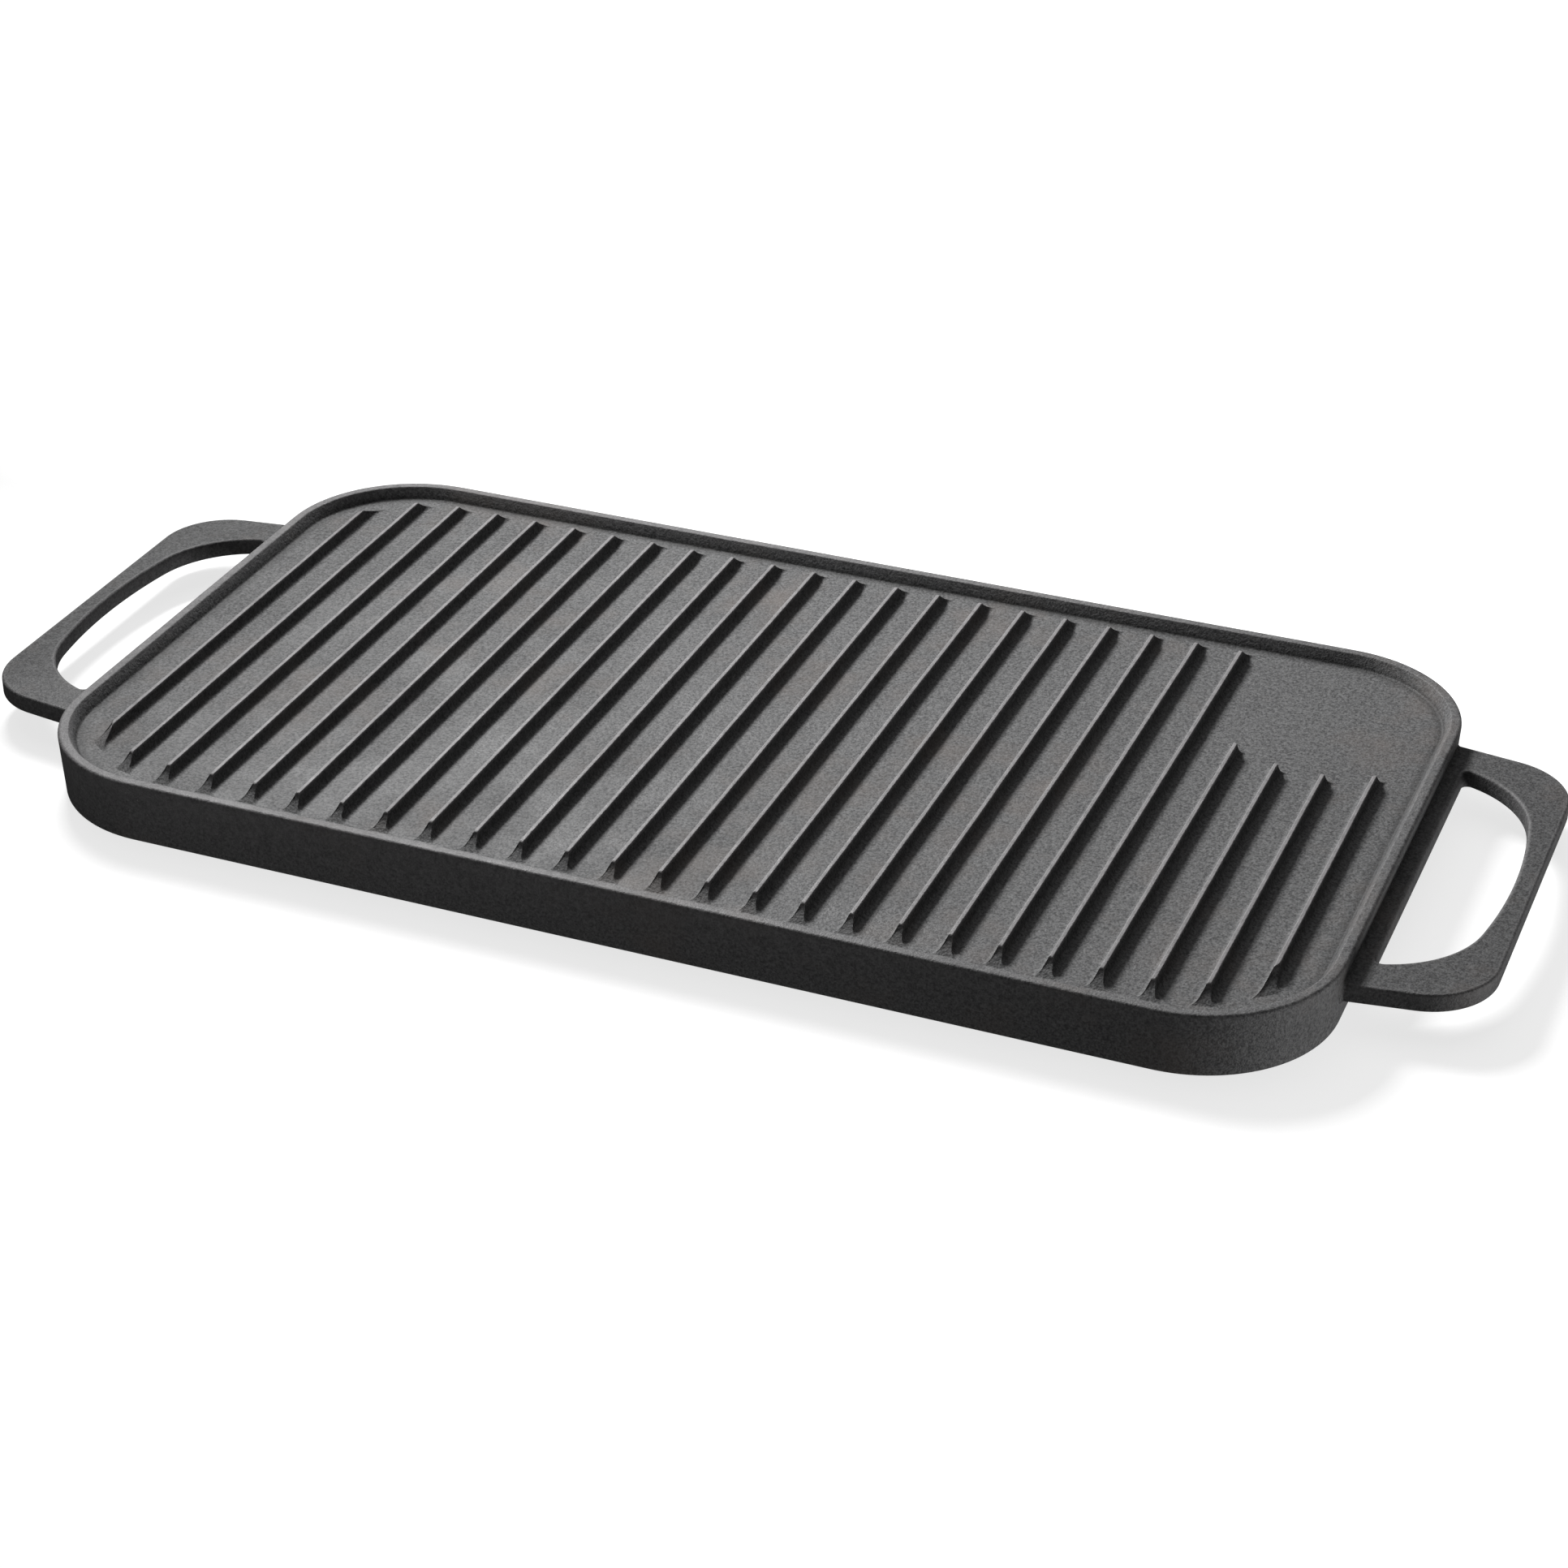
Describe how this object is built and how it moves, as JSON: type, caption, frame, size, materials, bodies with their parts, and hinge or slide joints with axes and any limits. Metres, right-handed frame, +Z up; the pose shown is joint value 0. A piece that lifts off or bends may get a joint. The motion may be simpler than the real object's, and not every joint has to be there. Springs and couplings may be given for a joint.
{
  "type": "cast iron griddle plate",
  "caption": "Long ribbed griddle plate with a low rim, a clear round corner for the ribs and a loop handle at each end, cast in one piece of iron.",
  "frame": {"origin": "centre of the plane that the foot of the skirt stands on", "axes": "+X along the plate from the left handle to the right handle, +Y from front to back, +Z up, out of the cooking side; the clear round corner is at +X +Y"},
  "size_m": [0.4766, 0.2216, 0.0203],
  "materials": {
    "seasoned_iron": "matte sand-cast iron, seasoned near black"
  },
  "bodies": {
    "root": {"pan_floor": "seasoned_iron", "rim_wall": "seasoned_iron", "grill_ribs": "seasoned_iron", "left_handle": "seasoned_iron", "right_handle": "seasoned_iron"}
  },
  "joints": []
}
